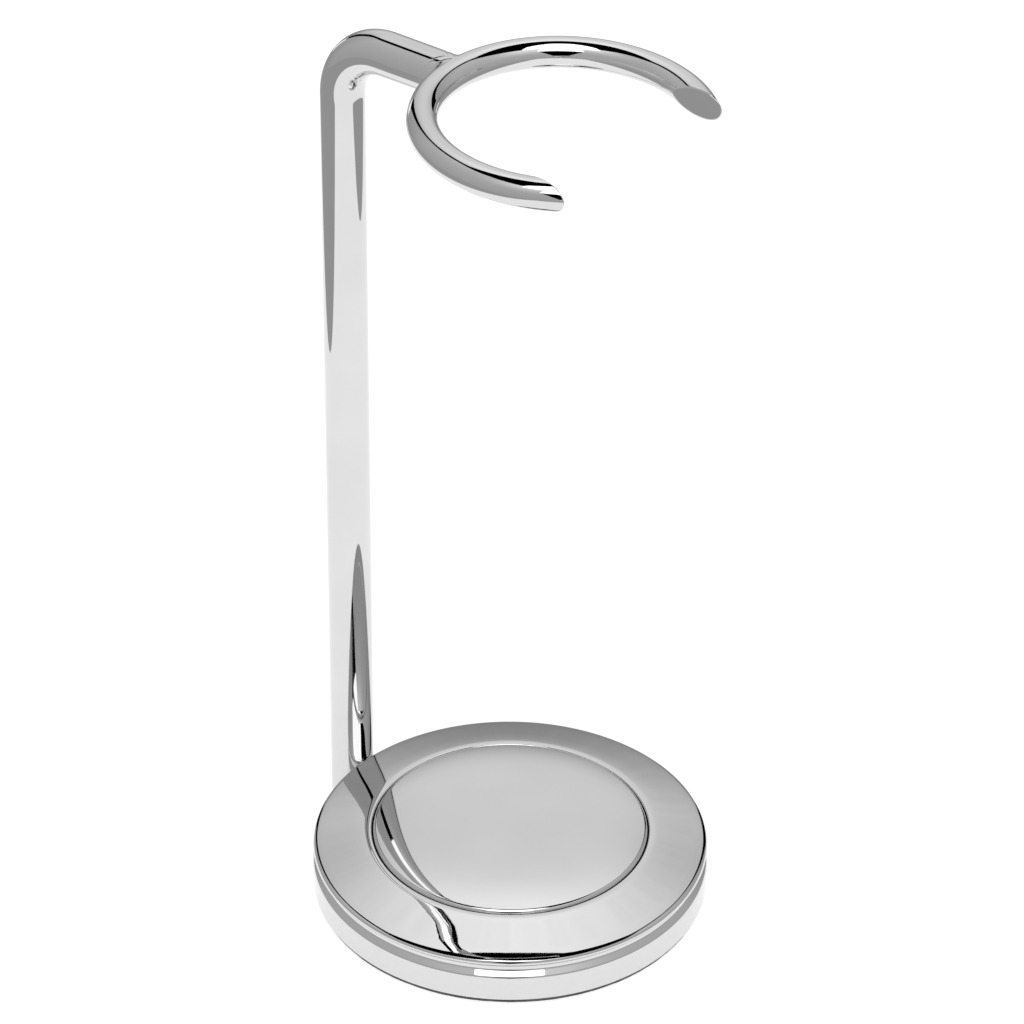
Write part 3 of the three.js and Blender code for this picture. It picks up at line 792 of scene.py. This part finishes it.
def add_camera():
    ahead = Vector((math.sin(CAMERA_AZIMUTH), math.cos(CAMERA_AZIMUTH), 0))
    right = Vector((ahead.y, -ahead.x, 0))
    forward = ahead * math.cos(CAMERA_PITCH) - Vector((0, 0, math.sin(CAMERA_PITCH)))
    up = right.cross(forward)
    rolled_right = right * math.cos(CAMERA_ROLL) + up * math.sin(CAMERA_ROLL)
    rolled_up = up * math.cos(CAMERA_ROLL) - right * math.sin(CAMERA_ROLL)
    data = bpy.data.cameras.new("camera")
    data.lens = CAMERA_LENS
    data.sensor_width = SENSOR_WIDTH
    data.clip_end = 100
    camera = bpy.data.objects.new("camera", data)
    matrix = Matrix((rolled_right, rolled_up, -forward)).transposed().to_4x4()
    matrix.translation = -ahead * CAMERA_REACH + Vector((0, 0, CAMERA_HEIGHT))
    camera.matrix_world = matrix
    scene.collection.objects.link(camera)
    scene.camera = camera


add_camera()

# ------------------------------------------------------------------ studio

# The studio is laid out along the camera's level axis: right, ahead and up from the base's centre.
AHEAD = Vector((math.sin(CAMERA_AZIMUTH), math.cos(CAMERA_AZIMUTH), 0))
RIGHT = Vector((AHEAD.y, -AHEAD.x, 0))
UP = Vector((0, 0, 1))


def glow_material():
    """Gives off the brightness that each corner of the card holds."""
    material = bpy.data.materials.new("glow")
    material.use_nodes = True
    nodes, links = material.node_tree.nodes, material.node_tree.links
    nodes.clear()
    attribute = nodes.new("ShaderNodeAttribute")
    attribute.attribute_name = "glow"
    emission = nodes.new("ShaderNodeEmission")
    output = nodes.new("ShaderNodeOutputMaterial")
    links.new(attribute.outputs["Fac"], emission.inputs["Strength"])
    links.new(emission.outputs["Emission"], output.inputs["Surface"])
    return material


GLOW = glow_material()


def only_in_gloss(obj):
    """A card shows in the chrome and nowhere else."""
    obj.visible_camera = False
    obj.visible_diffuse = False
    obj.visible_shadow = False
    obj.visible_transmission = False


def card(name, place, glow, across=24, along=24):
    """A curved card. place and glow take two shares from 0 to 1.

    place gives (right, ahead, up) there, and glow the brightness.
    """
    points, values = [], []
    for i in range(along + 1):
        for j in range(across + 1):
            s, t = j / across, i / along
            right, ahead, up = place(s, t)
            points.append(RIGHT * right + AHEAD * ahead + UP * up)
            values.append(glow(s, t))
    row = across + 1
    faces = []
    for i in range(along):
        for j in range(across):
            start = i * row + j
            faces.append((start, start + 1, start + row + 1, start + row))
    mesh = bpy.data.meshes.new(name)
    mesh.from_pydata([tuple(p) for p in points], [], faces)
    mesh.attributes.new("glow", "FLOAT", "POINT").data.foreach_set("value", values)
    mesh.materials.append(GLOW)
    obj = bpy.data.objects.new(name, mesh)
    scene.collection.objects.link(obj)
    only_in_gloss(obj)


def smooth(edge0, edge1, x):
    t = min(max((x - edge0) / (edge1 - edge0), 0), 1)
    return t * t * (3 - 2 * t)


def along_path(path, t):
    """Point at share t of a polyline of (ahead, up)."""
    path = np.array(path)
    lengths = np.concatenate([[0], np.cumsum(np.linalg.norm(np.diff(path, axis=0), axis=1))])
    where = t * lengths[-1]
    return np.interp(where, lengths, path[:, 0]), np.interp(where, lengths, path[:, 1])


# The curved backdrop behind the stand, which rises and leans over it: ahead, up.
SWEEP = [(0.50, 0.0), (0.50, 0.42), (0.48, 0.62), (0.42, 0.76), (0.30, 0.845)]
# Its half width at some heights.
SWEEP_HALF = [(0.0, 0.235), (0.2, 0.245), (0.3, 0.275), (0.45, 0.3), (0.62, 0.35), (0.87, 0.37)]
SWEEP_GLOW = 0.27  # at its foot
SWEEP_GAINS = [(0.62, 0.02, 0.3), (0.32, 0.4, 0.8)]  # brightness gained between two heights
SWEEP_SIDE_LOSS = 0.3


def sweep_place(s, t):
    ahead, up = along_path(SWEEP, t)
    half = np.interp(up, *zip(*SWEEP_HALF))
    return (2 * s - 1) * half, ahead, up


def sweep_glow(s, t):
    up = along_path(SWEEP, t)[1]
    gains = [gain * smooth(low, high, up) for gain, low, high in SWEEP_GAINS]
    return (SWEEP_GLOW + sum(gains)) * (1 - SWEEP_SIDE_LOSS * (2 * s - 1) ** 2)


LAMP_HEIGHT = 0.74
LAMP_GLOW = 2.2
# The lamp's half width at some distances from the base's centre towards the camera.
LAMP_EDGE = [
    (0, 0.04), (0.13, 0.185), (0.385, 0.347), (0.665, 0.483), (0.75, 0.4), (0.826, 0.2), (0.85, 0.03),
]


def lamp_place(s, t):
    back = t * LAMP_EDGE[-1][0]
    return (2 * s - 1) * np.interp(back, *zip(*LAMP_EDGE)), -back, LAMP_HEIGHT


WALL_DISTANCE = 0.42
WALL_FOOT = 0.001  # clear of the floor
# The height of each wall at some turns from straight ahead, in degrees.
WALL_LEFT = [
    (33, 0.15), (43, 0.38), (47, 0.466), (65, 0.666), (85, 0.76), (100, 0.865), (120, 0.93), (180, 0.93),
]
WALL_RIGHT = [(38, 0.2), (40, 0.38), (47, 0.53), (61, 0.675), (80, 0.72), (180, 0.72)]
WALL_GAP = 22  # degrees from the camera's side to each wall, above WALL_GAP_TOP
WALL_GAP_FOOT = 0.02
WALL_GAP_TOP = 0.45
WALL_GLOW = 0.47
WALL_UPWARD_GAIN = 0.22
WALL_CAMERA_GAIN = 0.42  # more brightness high up on the camera's side
WALL_AHEAD_SHARE = 0.75  # of the brightness is left at the end away from the camera


def wall_place(side, edge):
    def place(s, t):
        start = edge[0][0]
        height = t * np.interp(start + (180 - start) * s, *zip(*edge))
        opening = min(max((height - WALL_GAP_FOOT) / (WALL_GAP_TOP - WALL_GAP_FOOT), 0), 1)
        angle = math.radians(start + (180 - WALL_GAP * opening - start) * s)
        right = side * WALL_DISTANCE * math.sin(angle)
        return right, WALL_DISTANCE * math.cos(angle), WALL_FOOT + height
    return place


def wall_glow(s, t):
    near_ahead = WALL_AHEAD_SHARE + (1 - WALL_AHEAD_SHARE) * smooth(0, 0.25, s)
    near_camera = smooth(0.5, 0.9, s) * smooth(0.3, 0.9, t)
    return (WALL_GLOW + WALL_UPWARD_GAIN * t + WALL_CAMERA_GAIN * near_camera) * near_ahead


# Dimmer strips on the floor, at both sides and at the end by the camera. Only the chrome shows them.
TABLE_LEFT_START = 0.155
TABLE_RIGHT_START = 0.15
TABLE_WIDTH = 0.3
TABLE_NEAR = -0.7
TABLE_LENGTH = 1.2
TABLE_HEIGHT = 0.0015
TABLE_GLOW = 0.42
TABLE_END_START = -0.66
TABLE_END_SIDE = 1.0
TABLE_END_HEIGHT = 0.002
TABLE_END_GLOW = 0.2


def table_edge_place(side, start):
    def place(s, t):
        return side * (start + TABLE_WIDTH * s), TABLE_NEAR + TABLE_LENGTH * t, TABLE_HEIGHT
    return place


def table_end_place(s, t):
    return TABLE_END_SIDE * (s - 0.5), TABLE_END_START - TABLE_END_SIDE * t, TABLE_END_HEIGHT


def even(glow):
    """The same brightness all over a card."""
    return lambda s, t: glow


card("sweep", sweep_place, sweep_glow)
card("lamp", lamp_place, even(LAMP_GLOW), across=8, along=40)
card("left_wall", wall_place(-1, WALL_LEFT), wall_glow, across=96, along=32)
card("right_wall", wall_place(1, WALL_RIGHT), wall_glow, across=96, along=32)
card("left_table", table_edge_place(-1, TABLE_LEFT_START), even(TABLE_GLOW))
card("right_table", table_edge_place(1, TABLE_RIGHT_START), even(TABLE_GLOW))
card("front_table", table_end_place, even(TABLE_END_GLOW))

FLOOR_HALF_SIDE = 6.0
FLOOR_COLOUR = 0.9
FLOOR_ROUGHNESS = 0.9
FLOOR_GLOW = 0.7
AMBIENT = 0.5  # light from all round. The chrome doesn't show it


def add_floor():
    material, nodes, links, shader = new_material("pale_floor")
    shader.inputs["Base Color"].default_value = (FLOOR_COLOUR, FLOOR_COLOUR, FLOOR_COLOUR, 1)
    shader.inputs["Roughness"].default_value = FLOOR_ROUGHNESS
    shader.inputs["Specular IOR Level"].default_value = 0
    shader.inputs["Emission Color"].default_value = (1, 1, 1, 1)
    shader.inputs["Emission Strength"].default_value = FLOOR_GLOW
    side = FLOOR_HALF_SIDE
    corners = [(-side, -side, 0), (side, -side, 0), (side, side, 0), (-side, side, 0)]
    mesh = bpy.data.meshes.new("floor")
    mesh.from_pydata(corners, [], [(0, 1, 2, 3)])
    mesh.materials.append(material)
    obj = bpy.data.objects.new("floor", mesh)
    scene.collection.objects.link(obj)


add_floor()

world = bpy.data.worlds.new("studio")
scene.world = world
world.use_nodes = True
background = world.node_tree.nodes["Background"]
background.inputs["Color"].default_value = (1, 1, 1, 1)
background.inputs["Strength"].default_value = AMBIENT
world.cycles_visibility.glossy = False

scene.view_settings.view_transform = "Standard"
scene.view_settings.look = "None"

bpy.context.view_layer.update()
